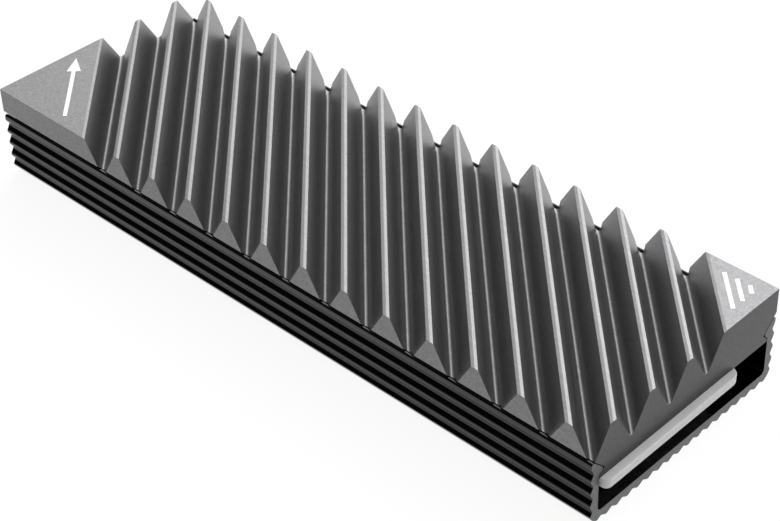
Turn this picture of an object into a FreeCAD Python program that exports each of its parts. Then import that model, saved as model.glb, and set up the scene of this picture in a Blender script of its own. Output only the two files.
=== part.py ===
import FreeCAD, Part
import math
import os

import Sketcher

# An M.2 drive's heat sink: a finned block that slides lengthwise into a ribbed tray, with a
# thermal pad under the block. X runs along the fins' row from the large corner flat to the
# small one, Y across from the front side to the back, Z up from the tray's lowest ribs.

# Driving sizes in millimetres, and the fins' angle and their crests' tilt in degrees.
SIZES = {
    # The length of the block and of the tray, which end flush.
    "body_length": 74.2,
    # Across, everything is built outwards from the drive's board.
    "board_width": 22.0,
    "board_clearance": 0.38,
    "wall_thickness": 0.98,
    "rim_overhang": 0.04,
    # The finned block's side, from its foot up to its rim.
    "foot_height": 0.28,
    "notch_reach": 0.6,
    "rim_height": 2.53,
    # The fins. A flat's leg is its side along the block's long edge.
    "fin_angle": 45,
    "fin_pitch": 3.5,
    "crest_land": 0.04,
    "crest_bevel": 0.247,
    "crest_tilt": 10,
    "groove_depth": 3.12,
    "groove_round": 0.27,
    "large_flat_leg": 12.417,
    "small_flat_leg": 7.0,
    # The tray. The bay is the space for the drive, from the floor to the block's foot.
    "bay_height": 3.655,
    "floor_thickness": 1.035,
    "corner_round": 1.4,
    "bay_round": 0.5,
    "hook_tip_round": 0.33,
    "hook_crown_round": 0.22,
    # The ribs along the tray's walls and under its base.
    "wall_rib_pitch": 1.38,
    "wall_rib_depth": 0.3,
    "corner_to_valley": 0.08,
    "base_rib_pitch": 1.36,
    "base_rib_depth": 0.3,
    "rib_land": 0.1,
    "rib_round": 0.22,
    "valley_round": 0.22,
    # The thermal pad.
    "pad_thickness": 1.0,
    "pad_width": 18.55,
    "pad_overhang": 0.62,
    "pad_round": 1.3,
    # The fit beside the foot and the pad, and square to the slanted faces of the hooks.
    "slide_gap": 0.08,
    # How far a groove's section stands out of the surface that it cuts.
    "cut_margin": 0.2,
}

# Places that several pieces share, as expressions on the sheet of sizes.
BAY_HALF_WIDTH = "(sizes.board_width / 2 + sizes.board_clearance)"
TRAY_HALF_WIDTH = f"({BAY_HALF_WIDTH} + sizes.wall_thickness)"
BLOCK_HALF_WIDTH = f"({TRAY_HALF_WIDTH} + sizes.rim_overhang)"
FOOT_HALF_WIDTH = f"({BAY_HALF_WIDTH} - sizes.slide_gap)"
NOTCH_HALF_WIDTH = f"({FOOT_HALF_WIDTH} - sizes.notch_reach)"
NOTCH_RISE = "(sizes.foot_height + sizes.notch_reach)"
BLOCK_BASE = "(sizes.floor_thickness + sizes.bay_height)"

# The slanted faces lie at 45 degrees, so a gap square to them is wider across or upwards.
HOOK_TIP_HALF_WIDTH = f"({NOTCH_HALF_WIDTH} + sizes.slide_gap * sqrt(2))"
HOOK_TIP_HEIGHT = f"({BLOCK_BASE} + {NOTCH_RISE})"
HOOK_ROOT_HEIGHT = f"({HOOK_TIP_HEIGHT} + {HOOK_TIP_HALF_WIDTH} - {BAY_HALF_WIDTH})"
HOOK_CROWN_HEIGHT = f"({HOOK_TIP_HEIGHT} + {TRAY_HALF_WIDTH} - {HOOK_TIP_HALF_WIDTH})"

ALONG_X = FreeCAD.Vector(1, 0, 0)
ALONG_Z = FreeCAD.Vector(0, 0, 1)

doc = FreeCAD.newDocument("ssd_heat_sink")


def size_sheet():
    """The sheet of driving sizes, with one name and one plain number in each row."""
    sheet = doc.addObject("Spreadsheet::Sheet", "sizes")
    for row, (name, number) in enumerate(SIZES.items(), start=1):
        sheet.set(f"A{row}", name)
        sheet.set(f"B{row}", str(number))
        sheet.setAlias(f"B{row}", name)
    doc.recompute()
    return sheet


sheet = size_sheet()


def value(expression):
    """The number that an expression on the sheet comes to."""
    return float(sheet.evalExpression(expression))


def new_body(label, height="0"):
    """An empty body whose own base lies at the given height."""
    body = doc.addObject("PartDesign::Body", label)
    body.Label = label
    body.Placement = FreeCAD.Placement(FreeCAD.Vector(0, 0, value(height)), FreeCAD.Rotation())
    body.setExpression("Placement.Base.z", height)
    return body


def new_sketch(body, name, plane, base=("0", "0", "0"), axis=(0, 0, 1), turn="0"):
    """A sketch on one of the body's origin planes, moved to base and turned about axis."""
    sketch = body.newObject("Sketcher::SketchObject", name)
    support = next(item for item in body.Origin.OriginFeatures if item.Role == plane)
    sketch.AttachmentSupport = [(support, "")]
    sketch.MapMode = "FlatFace"
    place = FreeCAD.Vector(*[value(part) for part in base])
    rotation = FreeCAD.Rotation(FreeCAD.Vector(*axis), value(turn))
    sketch.AttachmentOffset = FreeCAD.Placement(place, rotation)
    for letter, part in zip("xyz", base):
        sketch.setExpression(f"AttachmentOffset.Base.{letter}", part)
    sketch.setExpression("AttachmentOffset.Rotation.Angle", turn)
    return sketch


def constrain(sketch, kind, *targets):
    return sketch.addConstraint(Sketcher.Constraint(kind, *targets))


def dimension(sketch, kind, *targets, expression):
    """A driving dimension that follows an expression on the sheet."""
    number = constrain(sketch, kind, *targets, value(expression))
    sketch.setExpression(f"Constraints[{number}]", expression)


def mirrored_outline(sketch, half):
    """A closed outline, alike on both sides of the upright axis, from its right-hand corners."""
    right = [FreeCAD.Vector(value(across), value(up), 0) for across, up in half]
    left = [FreeCAD.Vector(-corner.x, corner.y, 0) for corner in reversed(right)]
    corners = right + left
    ends = zip(corners, corners[1:] + corners[:1])
    lines = list(sketch.addGeometry([Part.LineSegment(start, end) for start, end in ends]))
    for line, following in zip(lines, lines[1:] + lines[:1]):
        constrain(sketch, "Coincident", line, 2, following, 1)
    for line, twin, (across, up) in zip(lines, reversed(lines), half):
        dimension(sketch, "DistanceX", -1, 1, line, 1, expression=across)
        dimension(sketch, "DistanceY", -1, 1, line, 1, expression=up)
        constrain(sketch, "Symmetric", line, 1, twin, 1, -2)


def arc(centre, radius, start, end):
    """An arc that turns anticlockwise from one direction to another, in radians."""
    circle = Part.Circle(FreeCAD.Vector(*centre, 0), FreeCAD.Vector(0, 0, 1), radius)
    return Part.ArcOfCircle(circle, start, end)


def mirrored(point):
    return FreeCAD.Vector(-point.x, point.y, 0)


def flank_lean(across, up, radii):
    """How far a flank leans from upright to touch its rounds, in radians."""
    return math.acos(radii / math.hypot(across, up)) - math.atan2(up, across)


def groove_outline(sketch, half_mouth, depth, floor_round, lean, left_edge, right_edge):
    """A groove's section between two shaped edges: straight flanks and a round floor.

    The mouth's middle is the sketch's origin, and the groove opens along its upright axis.
    """
    sizes = (half_mouth, depth, floor_round, "sizes.cut_margin")
    mouth, deep, floor, margin = [value(size) for size in sizes]
    touch = FreeCAD.Vector(floor * math.cos(lean), floor * (1 - math.sin(lean)) - deep, 0)
    corner = FreeCAD.Vector(mouth, 0, 0)
    outer_corner = FreeCAD.Vector(mouth, margin, 0)
    left_edge, left_flank, base, right_flank, right_edge, right_side, lid, left_side = sketch.addGeometry([
        left_edge,
        Part.LineSegment(left_edge.StartPoint, mirrored(touch)),
        arc((0, floor - deep), floor, math.pi + lean, 2 * math.pi - lean),
        Part.LineSegment(touch, right_edge.EndPoint),
        right_edge,
        Part.LineSegment(corner, outer_corner),
        Part.LineSegment(outer_corner, mirrored(outer_corner)),
        Part.LineSegment(mirrored(outer_corner), mirrored(corner)),
    ])

    constrain(sketch, "Tangent", left_flank, 2, base, 1)
    constrain(sketch, "Tangent", base, 2, right_flank, 1)
    constrain(sketch, "Coincident", right_edge, 1, right_side, 1)
    constrain(sketch, "Coincident", right_side, 2, lid, 1)
    constrain(sketch, "Coincident", lid, 2, left_side, 1)
    constrain(sketch, "Coincident", left_side, 2, left_edge, 2)
    constrain(sketch, "Vertical", right_side)
    constrain(sketch, "Vertical", left_side)
    constrain(sketch, "Horizontal", lid)
    constrain(sketch, "PointOnObject", base, 3, -2)
    constrain(sketch, "PointOnObject", right_edge, 1, -1)
    constrain(sketch, "Symmetric", right_edge, 1, left_edge, 2, -2)
    dimension(sketch, "Radius", base, expression=floor_round)
    dimension(sketch, "DistanceX", -1, 1, right_edge, 1, expression=half_mouth)
    dimension(sketch, "DistanceY", base, 3, -1, 1, expression=f"{depth} - {floor_round}")
    dimension(sketch, "DistanceY", right_side, 1, right_side, 2, expression="sizes.cut_margin")
    return left_edge, left_flank, right_flank, right_edge


def rounded_groove(sketch, half_mouth, depth, edge_round, floor_round):
    """A groove whose edges are rounded over into its flanks."""
    mouth, deep, edge, floor = [
        value(size) for size in (half_mouth, depth, edge_round, floor_round)]
    lean = flank_lean(mouth, deep - edge - floor, edge + floor)
    left_edge, left_flank, right_flank, right_edge = groove_outline(
        sketch, half_mouth, depth, floor_round, lean,
        arc((-mouth, -edge), edge, lean, math.pi / 2),
        arc((mouth, -edge), edge, math.pi / 2, math.pi - lean))
    constrain(sketch, "Tangent", left_edge, 1, left_flank, 1)
    constrain(sketch, "Tangent", right_flank, 2, right_edge, 2)
    constrain(sketch, "Vertical", right_edge, 1, right_edge, 3)
    constrain(sketch, "Vertical", left_edge, 2, left_edge, 3)
    constrain(sketch, "Equal", right_edge, left_edge)
    dimension(sketch, "Radius", right_edge, expression=edge_round)


def bevelled_groove(sketch, half_mouth, depth, bevel, tilt, floor_round):
    """A groove whose edges are bevelled, with sharp corners between bevels and flanks."""
    drop = f"{bevel} * tan({tilt} * 1 deg)"
    mouth, deep, reach, sink, floor = [
        value(size) for size in (half_mouth, depth, bevel, drop, floor_round)]
    lean = flank_lean(mouth - reach, deep - sink - floor, floor)
    rim = FreeCAD.Vector(mouth, 0, 0)
    shoulder = FreeCAD.Vector(mouth - reach, -sink, 0)
    left_edge, left_flank, right_flank, right_edge = groove_outline(
        sketch, half_mouth, depth, floor_round, lean,
        Part.LineSegment(mirrored(shoulder), mirrored(rim)),
        Part.LineSegment(rim, shoulder))
    constrain(sketch, "Coincident", left_edge, 1, left_flank, 1)
    constrain(sketch, "Coincident", right_flank, 2, right_edge, 2)
    constrain(sketch, "Symmetric", right_edge, 2, left_edge, 1, -2)
    dimension(sketch, "DistanceX", right_edge, 2, right_edge, 1, expression=bevel)
    dimension(sketch, "DistanceY", right_edge, 2, right_edge, 1, expression=drop)


def extrude(body, name, sketch, length, side_type):
    """Pads a sketch, to one side or equally to both."""
    feature = body.newObject("PartDesign::Pad", name)
    feature.Profile = sketch
    feature.SideType = side_type
    feature.setExpression("Length", length)
    doc.recompute()


def round_edges(body, name, places, direction, radius):
    """Rounds the straight edges that run along a direction through the given places."""
    base = body.Tip
    names = []
    for number, edge in enumerate(base.Shape.Edges, start=1):
        off_line = min((edge.CenterOfMass - place).cross(direction).Length for place in places)
        off_way = edge.tangentAt(edge.FirstParameter).cross(direction).Length
        if max(off_line, off_way) < 1e-4:
            names.append(f"Edge{number}")
    if len(names) != len(places):
        raise RuntimeError(f"{name}: {len(names)} edges lie at {len(places)} places")
    fillet = body.newObject("PartDesign::Fillet", name)
    fillet.Base = (base, names)
    fillet.setExpression("Radius", radius)
    doc.recompute()


def lengthwise_pair(half_width, height):
    """A place on each long side, at the same height."""
    across, up = value(half_width), value(height)
    return [FreeCAD.Vector(0, across, up), FreeCAD.Vector(0, -across, up)]


def cut_row(body, name, sketch, pitch, count, backwards=False):
    """Cuts a groove through the body and repeats it along its sketch's level axis."""
    whole = body.Tip.Shape.Volume
    groove = body.newObject("PartDesign::Pocket", name)
    groove.Profile = sketch
    groove.SideType = "Symmetric"
    groove.Type = "ThroughAll"
    doc.recompute()
    once = groove.Shape.Volume
    row = body.newObject("PartDesign::LinearPattern", f"{name}_row")
    row.Originals = [groove]
    row.Direction = (sketch, ["H_Axis"])
    row.Mode = "Spacing"
    row.Reversed = backwards
    row.setExpression("Offset", pitch)
    row.setExpression("Occurrences", count)
    body.Tip = row
    doc.recompute()
    if not whole > once > row.Shape.Volume:
        raise RuntimeError(f"{name} cuts nothing")


def finned_heat_sink():
    """The block: a rim, a notch along each long side, a foot and a field of slanted fins."""
    body = new_body("finned_heat_sink", BLOCK_BASE)
    rim_base = f"({NOTCH_RISE} + {BLOCK_HALF_WIDTH} - {NOTCH_HALF_WIDTH})"
    top = f"({rim_base} + sizes.rim_height)"
    section = new_sketch(body, "block_section", "YZ_Plane")
    mirrored_outline(section, [
        (BLOCK_HALF_WIDTH, top),
        (BLOCK_HALF_WIDTH, rim_base),
        (NOTCH_HALF_WIDTH, NOTCH_RISE),
        (FOOT_HALF_WIDTH, "sizes.foot_height"),
        (FOOT_HALF_WIDTH, "0"),
    ])
    extrude(body, "block", section, "sizes.body_length", "Symmetric")

    # The row runs square to the fins. The block spans it from one corner to the opposite one.
    along, aside = "cos(sizes.fin_angle * 1 deg)", "sin(sizes.fin_angle * 1 deg)"
    span = f"(sizes.body_length * {along} + 2 * {BLOCK_HALF_WIDTH} * {aside})"
    half_mouth = "((sizes.fin_pitch - sizes.crest_land) / 2)"
    first = f"(sizes.large_flat_leg * {along} + {half_mouth} - {span} / 2)"
    flats = f"(sizes.large_flat_leg + sizes.small_flat_leg) * {along}"
    count = f"floor(({span} - {flats} + sizes.crest_land) / sizes.fin_pitch)"
    groove = new_sketch(
        body, "fin_groove_section", "XZ_Plane",
        base=(f"{first} * {along}", top, f"-{first} * {aside}"), axis=(0, 1, 0), turn="sizes.fin_angle")
    bevelled_groove(
        groove, half_mouth, "sizes.groove_depth",
        "sizes.crest_bevel", "sizes.crest_tilt", "sizes.groove_round")
    cut_row(body, "fin_groove", groove, "sizes.fin_pitch", count)
    return body


def ribbed_tray():
    """The tray: a U with a hook along each wall's top and ribs over its walls and base."""
    body = new_body("ribbed_tray")
    section = new_sketch(body, "tray_section", "YZ_Plane")
    mirrored_outline(section, [
        (BAY_HALF_WIDTH, "sizes.floor_thickness"),
        (BAY_HALF_WIDTH, HOOK_ROOT_HEIGHT),
        (HOOK_TIP_HALF_WIDTH, HOOK_TIP_HEIGHT),
        (TRAY_HALF_WIDTH, HOOK_CROWN_HEIGHT),
        (TRAY_HALF_WIDTH, "0"),
    ])
    extrude(body, "tray", section, "sizes.body_length", "Symmetric")

    rounds = [
        ("outer_corners", TRAY_HALF_WIDTH, "0", "sizes.corner_round"),
        ("bay_corners", BAY_HALF_WIDTH, "sizes.floor_thickness", "sizes.bay_round"),
        ("hook_tips", HOOK_TIP_HALF_WIDTH, HOOK_TIP_HEIGHT, "sizes.hook_tip_round"),
        ("hook_crowns", TRAY_HALF_WIDTH, HOOK_CROWN_HEIGHT, "sizes.hook_crown_round"),
    ]
    for name, half_width, height, radius in rounds:
        round_edges(body, name, lengthwise_pair(half_width, height), ALONG_X, radius)

    valley_shape = ("sizes.rib_round", "sizes.valley_round")
    half_mouth = "((sizes.wall_rib_pitch - sizes.rib_land) / 2)"
    lowest = "(sizes.corner_round + sizes.corner_to_valley)"
    count = f"floor(({HOOK_CROWN_HEIGHT} - {lowest}) / sizes.wall_rib_pitch)"
    for name, side, turn in [("back_valley", "", "-90"), ("front_valley", "-", "90")]:
        valley = new_sketch(
            body, f"{name}_section", "YZ_Plane",
            base=(f"{side}{TRAY_HALF_WIDTH}", lowest, "0"), turn=turn)
        rounded_groove(valley, half_mouth, "sizes.wall_rib_depth", *valley_shape)
        cut_row(body, name, valley, "sizes.wall_rib_pitch", count, backwards=name == "back_valley")

    half_mouth = "((sizes.base_rib_pitch - sizes.rib_land) / 2)"
    each_side = f"floor(({TRAY_HALF_WIDTH} - sizes.corner_round) / sizes.base_rib_pitch)"
    valley = new_sketch(
        body, "base_valley_section", "YZ_Plane",
        base=(f"{each_side} * sizes.base_rib_pitch", "0", "0"), turn="180")
    rounded_groove(valley, half_mouth, "sizes.base_rib_depth", *valley_shape)
    cut_row(body, "base_valley", valley, "sizes.base_rib_pitch", f"2 * {each_side} + 1")
    return body


def thermal_pad():
    """The pad: a soft plate under the block, against the front wall, proud of both ends."""
    body = new_body("thermal_pad", f"{BLOCK_BASE} - sizes.pad_thickness")
    half_length = "(sizes.body_length / 2 + sizes.pad_overhang)"
    front, back = f"-{FOOT_HALF_WIDTH}", f"(sizes.pad_width - {FOOT_HALF_WIDTH})"
    section = new_sketch(body, "pad_outline", "XY_Plane")
    mirrored_outline(section, [(half_length, front), (half_length, back)])
    extrude(body, "pad_plate", section, "sizes.pad_thickness", "One side")
    end = value(half_length)
    sides = [value(front), value(back)]
    corners = [FreeCAD.Vector(along, across, 0) for along in (end, -end) for across in sides]
    round_edges(body, "pad_corners", corners, ALONG_Z, "sizes.pad_round")
    return body


def write_parts(bodies):
    """Checks every feature and solid, then writes one STEP file for each body."""
    doc.recompute()
    for item in doc.Objects:
        if "Invalid" in item.State or "Error" in item.State:
            raise RuntimeError(f"{item.Label} failed: {item.State}")
    for body in bodies:
        if body.Shape.isNull() or not body.Shape.isValid():
            raise RuntimeError(f"{body.Label} has no valid shape")
    os.makedirs("parts", exist_ok=True)
    for body in bodies:
        body.Shape.exportStep(f"parts/{body.Label}.step")
        print(f"{body.Label}: {body.Shape.Volume:.1f} cubic millimetres")


write_parts([finned_heat_sink(), ribbed_tray(), thermal_pad()])
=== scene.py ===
# %% [markdown]
# A solid-state drive's heat sink has three pieces: a grey block with slanted V fins, a black
# ribbed tray that holds it by two rails, and a soft thermal pad between the block and the drive.
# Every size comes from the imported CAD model, so this lesson is about finish, light and camera.
# It shows how anodised aluminium gets its look, and how dark metal is lit on a white table.

import math

import bmesh
import bpy
from mathutils import Matrix, Vector


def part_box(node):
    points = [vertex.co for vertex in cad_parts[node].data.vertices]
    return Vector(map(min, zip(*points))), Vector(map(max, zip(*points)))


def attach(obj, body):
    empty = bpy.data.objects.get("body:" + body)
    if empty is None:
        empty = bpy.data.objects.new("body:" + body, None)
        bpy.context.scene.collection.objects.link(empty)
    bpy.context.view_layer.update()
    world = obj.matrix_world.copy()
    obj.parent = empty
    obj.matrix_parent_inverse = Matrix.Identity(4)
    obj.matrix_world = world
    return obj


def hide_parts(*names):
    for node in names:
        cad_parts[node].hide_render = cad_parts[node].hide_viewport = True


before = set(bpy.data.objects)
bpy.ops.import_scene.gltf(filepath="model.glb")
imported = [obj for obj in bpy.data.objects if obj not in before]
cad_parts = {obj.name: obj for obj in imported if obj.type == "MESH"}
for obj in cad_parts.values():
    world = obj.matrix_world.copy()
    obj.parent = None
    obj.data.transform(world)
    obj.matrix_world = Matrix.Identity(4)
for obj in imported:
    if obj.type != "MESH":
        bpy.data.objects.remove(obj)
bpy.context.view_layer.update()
MM = 0.001

# %% [markdown]
# The camera was found from the photograph's straight edges. The long rails run to one vanishing
# point and the ends to another, and the sizes of the two ends give the distance. It stands about
# 19 cm away and looks down at 38 degrees. The lens is shifted sideways, because the photograph
# was cropped more on one side than on the other. Blender leaves out what is nearer than the clip
# start, so for a part this small that is brought down to a centimetre.

# %% Camera
# The place is in metres, the turns are in degrees, and the lens is in Blender's own millimetres.
CAMERA_PLACE = Vector((0.107094, -0.102952, 0.115443))
CAMERA_DOWN = 37.731
CAMERA_TURN = 41.826
LENS_MM = 92.585
LENS_SHIFT = -0.12352
NEAREST_SEEN = 10 * MM


def add_object(name, data):
    """A new object in the scene for a mesh, a lamp or a camera."""
    added = bpy.data.objects.new(name, data)
    bpy.context.scene.collection.objects.link(added)
    return added


camera = add_object("camera", bpy.data.cameras.new("camera"))
camera.location = CAMERA_PLACE
camera.rotation_euler = (math.radians(90 - CAMERA_DOWN), 0, math.radians(CAMERA_TURN))
camera.data.lens = LENS_MM
camera.data.shift_x = LENS_SHIFT
camera.data.clip_start = NEAREST_SEEN
bpy.context.scene.camera = camera
bpy.context.scene.view_settings.view_transform = "Standard"
print("camera distance in mm:", round(CAMERA_PLACE.length / MM))

# %% [markdown]
# Colours are written as sRGB hex values, the way a picture editor shows them, and one function
# turns them into the linear numbers that a shader works with. A second small function adds a
# node with its settings and links, so that each material below reads as a short list.

# %% Colour and node helpers
def linear(code):
    """A hex colour as linear red, green, blue and alpha."""
    channels = [int(code[i:i + 2], 16) / 255 for i in (1, 3, 5)]
    return [c / 12.92 if c <= 0.04045 else ((c + 0.055) / 1.055) ** 2.4 for c in channels] + [1]


def add_node(tree, kind, settings=None, inputs=None):
    """A node with its settings, and its inputs as values or as links from other nodes."""
    node = tree.nodes.new(kind)
    for name, setting in (settings or {}).items():
        setattr(node, name, setting)
    for name, source in (inputs or {}).items():
        if isinstance(source, bpy.types.NodeSocket):
            tree.links.new(source, node.inputs[name])
        else:
            node.inputs[name].default_value = source
    return node


def new_material(name):
    """A material with only its output, and the piece's own coordinates in metres."""
    material = bpy.data.materials.new(name)
    material.use_nodes = True
    tree = material.node_tree
    tree.nodes.clear()
    output = add_node(tree, "ShaderNodeOutputMaterial")
    place = add_node(tree, "ShaderNodeTexCoord").outputs["Object"]
    return material, tree, output, place


print("#808080 in linear light:", round(linear("#808080")[0], 3))

# %% [markdown]
# The block and the tray have sawn ends. On the tray the saw bared grey metal, a finish of its own,
# and on the block the ends get a darker tone, which is painted shade. Those faces are the only
# ones that lie right at the lowest and the highest X, and both pieces are equally long and centred
# on X. So a Compare node finds them: it gives one where X is nearer to zero than the ends are, and
# zero on the ends. The V grooves are found the same way, because they lie inside the block's
# outline and below its top. Each mask stops a thin skin short of the outer faces. Materials of
# their own for the ends and the grooves would do too, but the CAD meshes stay as they are.

# %% Masks from the piece's own coordinates
# The grooves are 3.12 mm deep, and the mask goes a little deeper to take in their floors.
BLOCK_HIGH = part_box("finned_heat_sink")[1]
GROOVE_DEPTH = 3.2 * MM
SKIN = 0.004 * MM


def between_ends(tree, place):
    """Zero on the sawn ends, one elsewhere."""
    x = add_node(tree, "ShaderNodeSeparateXYZ", inputs={0: place}).outputs["X"]
    return add_node(tree, "ShaderNodeMath", {"operation": "COMPARE"}, {
        0: x, 1: 0.0, 2: BLOCK_HIGH.x - SKIN}).outputs[0]


def groove_mask(tree, place, off_ends):
    """One in the V grooves and on the bevels of the crests, zero elsewhere."""
    axes = add_node(tree, "ShaderNodeSeparateXYZ", inputs={0: place}).outputs
    across = add_node(tree, "ShaderNodeMath", {"operation": "COMPARE"}, {
        0: axes["Y"], 1: 0.0, 2: BLOCK_HIGH.y - SKIN}).outputs[0]
    height = add_node(tree, "ShaderNodeMath", {"operation": "COMPARE"}, {
        0: axes["Z"], 1: BLOCK_HIGH.z - (GROOVE_DEPTH + SKIN) / 2,
        2: (GROOVE_DEPTH - SKIN) / 2}).outputs[0]
    inside = add_node(tree, "ShaderNodeMath", {"operation": "MULTIPLY"}, {
        0: across, 1: height}).outputs[0]
    return add_node(tree, "ShaderNodeMath", {"operation": "MULTIPLY"}, {
        0: inside, 1: off_ends}).outputs[0]


print("sawn ends at X in mm:", round(-BLOCK_HIGH.x / MM, 2), round(BLOCK_HIGH.x / MM, 2))

# %% [markdown]
# The block is aluminium, blasted with fine beads and then anodised grey. The beads leave dimples
# that spread each reflection into a soft satin glow, and the anodic layer tints the metal.
# Metallic is 1 and the IOR stays at its default, because the colour of a metal is the colour of
# its reflection. The cutter that made the V grooves left fine lines along the fins. The sawn ends
# get a darker tone, which is painted shade. A bump of a hundredth of a millimetre is enough to
# break up the shine.

# %% Grey anodised aluminium
# Blasting dimples are under 0.1 mm wide, which is finer than a pixel here, so they are drawn at
# 0.22 mm. The cutter's feed lines are drawn at 0.25 mm for the same reason.
DIMPLE = 0.22 * MM
FEED_LINE = 0.25 * MM
FEED_LINE_STRETCH = 0.02
FIN_ANGLE = math.radians(45)
FINE_RELIEF = 0.01 * MM
SATIN_TONES = linear("#686869"), linear("#868687")
# The darker tones of the block's ends are painted shade.
PAINTED_END_SHADE_TONES = linear("#464647"), linear("#5D5D5E")


def satin_grey():
    material, tree, output, place = new_material("bead_blasted_grey_anodised_aluminium")
    dimples = add_node(tree, "ShaderNodeTexNoise", inputs={
        "Vector": place, "Scale": 1 / DIMPLE, "Detail": 0.5})
    along_fins = add_node(tree, "ShaderNodeMapping", inputs={
        "Vector": place, "Rotation": (0, 0, FIN_ANGLE), "Scale": (FEED_LINE_STRETCH, 1, 1)})
    feed_lines = add_node(tree, "ShaderNodeTexNoise", inputs={
        "Vector": along_fins.outputs["Vector"], "Scale": 1 / FEED_LINE, "Detail": 2.0})
    off_ends = between_ends(tree, place)
    texture = add_node(tree, "ShaderNodeMix", inputs={
        "Factor": groove_mask(tree, place, off_ends),
        "A": dimples.outputs["Fac"], "B": feed_lines.outputs["Fac"]})
    tone = add_node(tree, "ShaderNodeMix", {"data_type": "RGBA"}, {
        "Factor": texture.outputs["Result"], "A": SATIN_TONES[0], "B": SATIN_TONES[1]})
    # Painted shade: the block's ends get the darker tones here.
    painted_end_shade = add_node(tree, "ShaderNodeMix", {"data_type": "RGBA"}, {
        "Factor": dimples.outputs["Fac"], "A": PAINTED_END_SHADE_TONES[0], "B": PAINTED_END_SHADE_TONES[1]})
    colour = add_node(tree, "ShaderNodeMix", {"data_type": "RGBA"}, {
        "Factor": off_ends, "A": painted_end_shade.outputs["Result"], "B": tone.outputs["Result"]})
    relief = add_node(tree, "ShaderNodeBump", inputs={
        "Height": texture.outputs["Result"], "Strength": 0.4, "Distance": FINE_RELIEF})
    shader = add_node(tree, "ShaderNodeBsdfPrincipled", inputs={
        "Base Color": colour.outputs["Result"], "Metallic": 1.0, "Roughness": 0.4,
        "Normal": relief.outputs["Normal"]})
    tree.links.new(shader.outputs["BSDF"], output.inputs["Surface"])
    return material


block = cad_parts["finned_heat_sink"]
block.data.materials[0] = satin_grey()
print("block:", len(block.data.polygons), "triangles")

# %% [markdown]
# The tray is an aluminium extrusion anodised black. Its dyed layer is a clear, hard oxide over a
# dark ground, so it works like a glossy dielectric: near black, with a narrow reflection along
# each rib. The die leaves faint lines along the length. The saw cut through the layer, so the
# ends show bare grey metal. One Principled node holds both, and the mask turns its Metallic and
# its Roughness up on the ends. Its IOR belongs to the layer, because bare metal has no use for it.

# %% Black anodised aluminium
# Die lines are finer than a pixel here and are drawn at 0.2 mm. The layer is full of fine pores,
# so its IOR is well below that of solid oxide.
DIE_LINE = 0.2 * MM
DIE_LINE_STRETCH = 0.01
DYE_TONES = linear("#020202"), linear("#040404")
CUT_TONES = linear("#5A5A5B"), linear("#808081")
LAYER_IOR = 1.44
LAYER_ROUGHNESS = 0.07
CUT_ROUGHNESS = 0.5


def glossy_black():
    material, tree, output, place = new_material("black_anodised_aluminium")
    along = add_node(tree, "ShaderNodeMapping", inputs={
        "Vector": place, "Scale": (DIE_LINE_STRETCH, 1, 1)})
    die_lines = add_node(tree, "ShaderNodeTexNoise", inputs={
        "Vector": along.outputs["Vector"], "Scale": 1 / DIE_LINE, "Detail": 1.0})
    relief = add_node(tree, "ShaderNodeBump", inputs={
        "Height": die_lines.outputs["Fac"], "Strength": 0.08, "Distance": FINE_RELIEF})
    dye = add_node(tree, "ShaderNodeMix", {"data_type": "RGBA"}, {
        "Factor": die_lines.outputs["Fac"], "A": DYE_TONES[0], "B": DYE_TONES[1]})
    saw_grain = add_node(tree, "ShaderNodeTexNoise", inputs={
        "Vector": place, "Scale": 1 / DIMPLE, "Detail": 2.0})
    cut_metal = add_node(tree, "ShaderNodeMix", {"data_type": "RGBA"}, {
        "Factor": saw_grain.outputs["Fac"], "A": CUT_TONES[0], "B": CUT_TONES[1]})
    layer = between_ends(tree, place)
    colour = add_node(tree, "ShaderNodeMix", {"data_type": "RGBA"}, {
        "Factor": layer, "A": cut_metal.outputs["Result"], "B": dye.outputs["Result"]})
    bare = add_node(tree, "ShaderNodeMath", {"operation": "SUBTRACT"}, {
        0: 1.0, 1: layer}).outputs[0]
    roughness = add_node(tree, "ShaderNodeMix", inputs={
        "Factor": layer, "A": CUT_ROUGHNESS, "B": LAYER_ROUGHNESS})
    shader = add_node(tree, "ShaderNodeBsdfPrincipled", inputs={
        "Base Color": colour.outputs["Result"], "Metallic": bare, "IOR": LAYER_IOR,
        "Roughness": roughness.outputs["Result"], "Normal": relief.outputs["Normal"]})
    tree.links.new(shader.outputs["BSDF"], output.inputs["Surface"])
    return material


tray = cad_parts["ribbed_tray"]
tray.data.materials[0] = glossy_black()
print("tray:", len(tray.data.polygons), "triangles")

# %% [markdown]
# The thermal pad is a soft strip, die-cut from a sheet. The CAD slab has sharp upper and lower
# edges, and soft rubber never has. The piece here starts as a block that is a little longer,
# thinner and narrower than the slab, as the photograph shows it. Its upright corners are rounded
# as the die cuts them, those at its free side more than those at the wall. Then all edges get a
# small round. A subdivision surface would soften them too, but a bevel gives each edge the radius
# that it has. Weighted normals keep the large faces flat beside such small rounds.

# %% Shape of the thermal pad
# Each step of a rounded corner turns by 11 degrees, far less than an edge that is still sharp.
PAD_LOW, PAD_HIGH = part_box("thermal_pad")
PAD_LONGER = 0.16 * MM
PAD_THINNER = 0.1 * MM
PAD_NARROWER = 0.55 * MM
WALL_CORNER = 0.6 * MM
FREE_CORNER = 1.15 * MM
CORNER_STEPS = 8
PAD_EDGE = 0.1 * MM
EDGE_STEPS = 4
SHARP = math.radians(60)
NEARLY_ALL = 0.9


def finish_piece(work, name):
    """The finished mesh as an object at the origin, with its place in the mesh."""
    mesh = bpy.data.meshes.new(name)
    work.to_mesh(mesh)
    work.free()
    return add_object(name, mesh)


def bevel(work, edges, offset, segments):
    """Round edges. The operator's defaults differ from the editor's, so all settings are given."""
    bmesh.ops.bevel(work, geom=edges, affect="EDGES", offset=offset, offset_type="OFFSET",
                    segments=segments, profile=0.5, material=-1)


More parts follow.
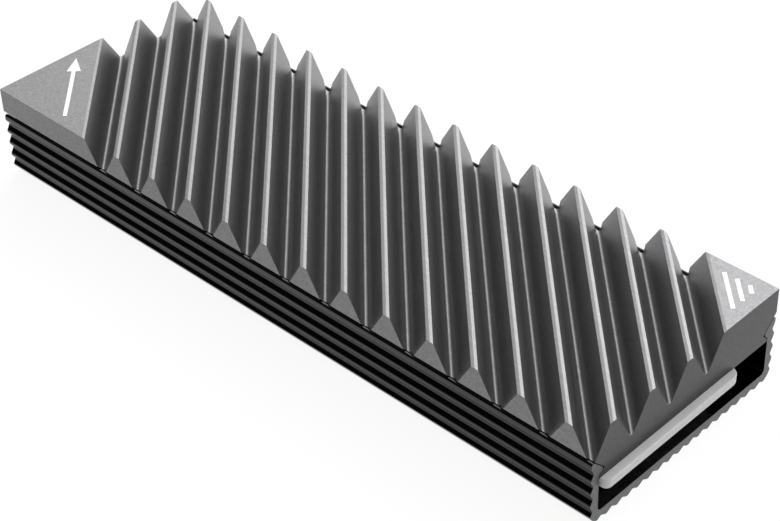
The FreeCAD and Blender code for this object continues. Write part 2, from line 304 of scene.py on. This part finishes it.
def soft_pad():
    low = PAD_LOW + Vector((-PAD_LONGER, 0, PAD_THINNER))
    high = PAD_HIGH + Vector((PAD_LONGER, -PAD_NARROWER, 0))
    size = high - low
    middle = (high + low) / 2
    work = bmesh.new()
    bmesh.ops.create_cube(work, size=1, matrix=Matrix.LocRotScale(middle, None, size))
    for side, corner in ((-1, WALL_CORNER), (1, FREE_CORNER)):
        upright = [e for e in work.edges
                   if abs((e.verts[0].co - e.verts[1].co).z) > NEARLY_ALL * size.z
                   and side * (e.verts[0].co.y - middle.y) > NEARLY_ALL * size.y / 2]
        bevel(work, upright, corner, CORNER_STEPS)
    rims = [e for e in work.edges if e.calc_face_angle() > SHARP]
    bevel(work, rims, PAD_EDGE, EDGE_STEPS)
    for face in work.faces:
        face.smooth = True
    return finish_piece(work, "soft_thermal_pad")


pad = soft_pad()
flat_faces = pad.modifiers.new("flat_faces_stay_flat", "WEIGHTED_NORMAL")
flat_faces.keep_sharp = True
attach(pad, "block")
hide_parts("thermal_pad")
print("pad:", len(pad.data.polygons), "faces")

# %% [markdown]
# The pad is silicone rubber filled with ceramic powder, which carries the heat. The powder makes
# the rubber matt and pale, with soft mottling where it is mixed unevenly, and it leaves the skin
# slightly bumpy. Silicone has an IOR of about 1.41.

# %% Filled silicone rubber
# The patches of the mottling are about half a millimetre wide.
MOTTLE = 0.5 * MM
MOTTLE_RELIEF = 0.02 * MM
RUBBER_TONES = linear("#C7C7C7"), linear("#DADAD9")


def filled_silicone():
    material, tree, output, place = new_material("filled_silicone_rubber")
    mottle = add_node(tree, "ShaderNodeTexNoise", inputs={
        "Vector": place, "Scale": 1 / MOTTLE, "Detail": 4.0, "Roughness": 0.65})
    tone = add_node(tree, "ShaderNodeMix", {"data_type": "RGBA"}, {
        "Factor": mottle.outputs["Fac"], "A": RUBBER_TONES[0], "B": RUBBER_TONES[1]})
    relief = add_node(tree, "ShaderNodeBump", inputs={
        "Height": mottle.outputs["Fac"], "Strength": 0.3, "Distance": MOTTLE_RELIEF})
    shader = add_node(tree, "ShaderNodeBsdfPrincipled", inputs={
        "Base Color": tone.outputs["Result"], "Roughness": 0.55, "IOR": 1.41,
        "Normal": relief.outputs["Normal"]})
    tree.links.new(shader.outputs["BSDF"], output.inputs["Surface"])
    return material


pad.data.materials.append(filled_silicone())
print("pad material:", pad.data.materials[0].name)

# %% [markdown]
# The two flats of the block carry white prints, which are plain signs without words. A print is
# a film of ink a hundredth of a millimetre thick. It could be painted into the block's material,
# but real geometry keeps its edges sharp from near by. So each starts from a few flat outlines,
# which are then extruded upwards.

# %% A film of ink
INK_THICKNESS = 0.01 * MM


def strip(start, end, width):
    """The four corners of a straight bar."""
    way = (end - start).normalized()
    side = Vector((-way.y, way.x, 0)) * width / 2
    return [start - side, end - side, end + side, start + side]


def ink_film(name, outlines):
    """A thin print on the block's flats from outlines, each a few points in order."""
    work = bmesh.new()
    for outline in outlines:
        work.faces.new([work.verts.new((p.x, p.y, BLOCK_HIGH.z)) for p in outline])
    bmesh.ops.recalc_face_normals(work, faces=work.faces)
    raised = bmesh.ops.extrude_face_region(work, geom=work.faces[:])
    lifted = [v for v in raised["geom"] if isinstance(v, bmesh.types.BMVert)]
    bmesh.ops.translate(work, verts=lifted, vec=(0, 0, INK_THICKNESS))
    bmesh.ops.recalc_face_normals(work, faces=work.faces)
    piece = finish_piece(work, name)
    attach(piece, "block")
    print(name + ":", len(piece.data.polygons), "faces")
    return piece


print("the flats lie at Z in mm:", round(BLOCK_HIGH.z / MM, 2))

# %% [markdown]
# The sign on the large flat is an arrow along the fins, which shows the way that the air takes.
# The sign on the small flat is three slanted bars, which stand for the fins. They get shorter
# towards the corner, as the flat does.

# %% Arrow and bars
ARROW_TAIL = Vector((-28.7, -11.2, 0)) * MM
ARROW_TIP = Vector((-36.0, -3.9, 0)) * MM
ARROW_WIDTH = 1.4 * MM
ARROW_HEAD = 2.4 * MM
SHAFT_WIDTH = 0.4 * MM
BAR_MIDDLE = Vector((34.7, 10.05, 0)) * MM
BAR_LENGTH = 4.0 * MM
BAR_WIDTH = 0.4 * MM
BAR_PITCH = 0.95 * MM


def arrow_outlines():
    way = (ARROW_TIP - ARROW_TAIL).normalized()
    side = Vector((-way.y, way.x, 0)) * ARROW_WIDTH / 2
    neck = ARROW_TIP - way * ARROW_HEAD
    return [strip(ARROW_TAIL, neck, SHAFT_WIDTH), [neck - side, ARROW_TIP, neck + side]]


def bar_outlines():
    way = Vector((math.cos(FIN_ANGLE), -math.sin(FIN_ANGLE), 0))
    across = Vector((math.sin(FIN_ANGLE), math.cos(FIN_ANGLE), 0))
    outlines = []
    for step in (-1, 0, 1):
        middle = BAR_MIDDLE + across * BAR_PITCH * step
        half = way * (BAR_LENGTH - (1 + 2 * step) * BAR_PITCH) / 2
        outlines.append(strip(middle - half, middle + half, BAR_WIDTH))
    return outlines


prints = [ink_film("air_way_arrow", arrow_outlines()), ink_film("fin_sign", bar_outlines())]

# %% [markdown]
# Screen-printed ink is a matt film of white pigment. It lies over the blasted dimples and is
# thinner on what stands between them, so its white has a faint speckle of their size.

# %% White ink
INK_TONES = linear("#F2F2F2"), linear("#FFFFFF")


def white_ink():
    material, tree, output, place = new_material("white_print_ink")
    speckle = add_node(tree, "ShaderNodeTexNoise", inputs={
        "Vector": place, "Scale": 1 / DIMPLE, "Detail": 2.0})
    tone = add_node(tree, "ShaderNodeMix", {"data_type": "RGBA"}, {
        "Factor": speckle.outputs["Fac"], "A": INK_TONES[0], "B": INK_TONES[1]})
    shader = add_node(tree, "ShaderNodeBsdfPrincipled", inputs={
        "Base Color": tone.outputs["Result"], "Roughness": 0.5})
    tree.links.new(shader.outputs["BSDF"], output.inputs["Surface"])
    return material


ink = white_ink()
for print_piece in prints:
    print_piece.data.materials.append(ink)
print("ink material:", ink.name)

# %% [markdown]
# The part stands on a white table. The camera and the metal see the table as evenly bright paper,
# through Light Path, and a share of its real shading is kept in, so that the part still throws
# its shadow. All other light meets plain white paper.

# %% White table
TABLE_SIZE = 6.0
PAPER = linear("#F4F4F4")
SHADED_PAPER = linear("#606060")
WHITE = linear("#FFFFFF")
PAPER_GLOW = 0.92


def white_paper():
    material, tree, output, _ = new_material("white_paper")
    paper = add_node(tree, "ShaderNodeBsdfDiffuse", inputs={"Color": PAPER})
    shade = add_node(tree, "ShaderNodeBsdfDiffuse", inputs={"Color": SHADED_PAPER})
    glow = add_node(tree, "ShaderNodeEmission", inputs={"Color": WHITE, "Strength": PAPER_GLOW})
    seen = add_node(tree, "ShaderNodeAddShader", inputs={
        0: glow.outputs["Emission"], 1: shade.outputs["BSDF"]})
    path = add_node(tree, "ShaderNodeLightPath").outputs
    reflected = add_node(tree, "ShaderNodeMath", {"operation": "MAXIMUM"}, {
        0: path["Is Glossy Ray"], 1: path["Is Transmission Ray"]}).outputs[0]
    looked_at = add_node(tree, "ShaderNodeMath", {"operation": "MAXIMUM"}, {
        0: path["Is Camera Ray"], 1: reflected}).outputs[0]
    both = add_node(tree, "ShaderNodeMixShader", inputs={
        0: looked_at, 1: paper.outputs["BSDF"], 2: seen.outputs["Shader"]})
    tree.links.new(both.outputs["Shader"], output.inputs["Surface"])
    return material


def white_table():
    work = bmesh.new()
    bmesh.ops.create_grid(work, x_segments=1, y_segments=1, size=TABLE_SIZE / 2)
    table = finish_piece(work, "table")
    table.data.materials.append(white_paper())


white_table()
print("table:", TABLE_SIZE, "m wide")

# %% [markdown]
# Metal shows what stands around it. Here that is a nearly dark room with one wide, soft window of
# light, low behind the part, which the crests, the flats and the back ends of the grooves reflect.
# The window fades out to all sides, as a curtain does, and the dark in front keeps the tray black.
# A lamp would show its hard outline in the metal. So the window is painted into the world's light,
# from the angle between each direction and the window's middle.

# %% Dark room with a bright window
WINDOW_AZIMUTH = 100
WINDOW_ELEVATION = 16
WINDOW_LIGHT = 5.3
WINDOW_TIGHTNESS = 6.4
ROOM_LIGHT = 0.03


def towards(azimuth, elevation):
    """The direction at these angles in degrees, turned from the X axis and up from the table."""
    turn, rise = math.radians(azimuth), math.radians(elevation)
    level = math.cos(rise)
    return Vector((level * math.cos(turn), level * math.sin(turn), math.sin(rise)))


def studio_room():
    world = bpy.data.worlds.new("studio_room")
    bpy.context.scene.world = world
    world.use_nodes = True
    tree = world.node_tree
    tree.nodes.clear()
    way = add_node(tree, "ShaderNodeTexCoord").outputs["Generated"]
    to_window = add_node(tree, "ShaderNodeVectorMath", {"operation": "DOT_PRODUCT"}, {
        0: way, 1: towards(WINDOW_AZIMUTH, WINDOW_ELEVATION)}).outputs["Value"]
    nearness = add_node(tree, "ShaderNodeMapRange", inputs={
        "Value": to_window, "From Min": -1.0, "From Max": 1.0}).outputs["Result"]
    curtain = add_node(tree, "ShaderNodeMath", {"operation": "POWER"}, {
        0: nearness, 1: WINDOW_TIGHTNESS}).outputs[0]
    window_and_room = add_node(tree, "ShaderNodeMath", {"operation": "MULTIPLY_ADD"}, {
        0: curtain, 1: WINDOW_LIGHT, 2: ROOM_LIGHT}).outputs[0]
    light = add_node(tree, "ShaderNodeBackground", inputs={
        "Color": WHITE, "Strength": window_and_room})
    output = add_node(tree, "ShaderNodeOutputWorld")
    tree.links.new(light.outputs["Background"], output.inputs["Surface"])


studio_room()
print("window at", WINDOW_AZIMUTH, "degrees round and", WINDOW_ELEVATION, "degrees up")

# %% [markdown]
# Two soft boxes add the rest: a weak one at the right front for the ends, and one straight above,
# which makes white ink and paper white but hardly shows in the metal.

# %% Soft boxes
def soft_box(name, azimuth, elevation, distance, width, height, watts):
    """An area lamp that faces the part."""
    lamp = bpy.data.lights.new(name, "AREA")
    lamp.shape = "RECTANGLE"
    lamp.size = width
    lamp.size_y = height
    lamp.energy = watts
    box = add_object(name, lamp)
    way = towards(azimuth, elevation)
    box.location = way * distance
    box.rotation_euler = way.to_track_quat("Z", "Y").to_euler()
    print(name + ":", watts, "W at", distance, "m")


soft_box("fill_soft_box", azimuth=-35, elevation=35, distance=0.7,
         width=0.5, height=0.4, watts=0.6)
soft_box("top_soft_box", azimuth=0, elevation=90, distance=0.9,
         width=0.5, height=0.5, watts=1.1)
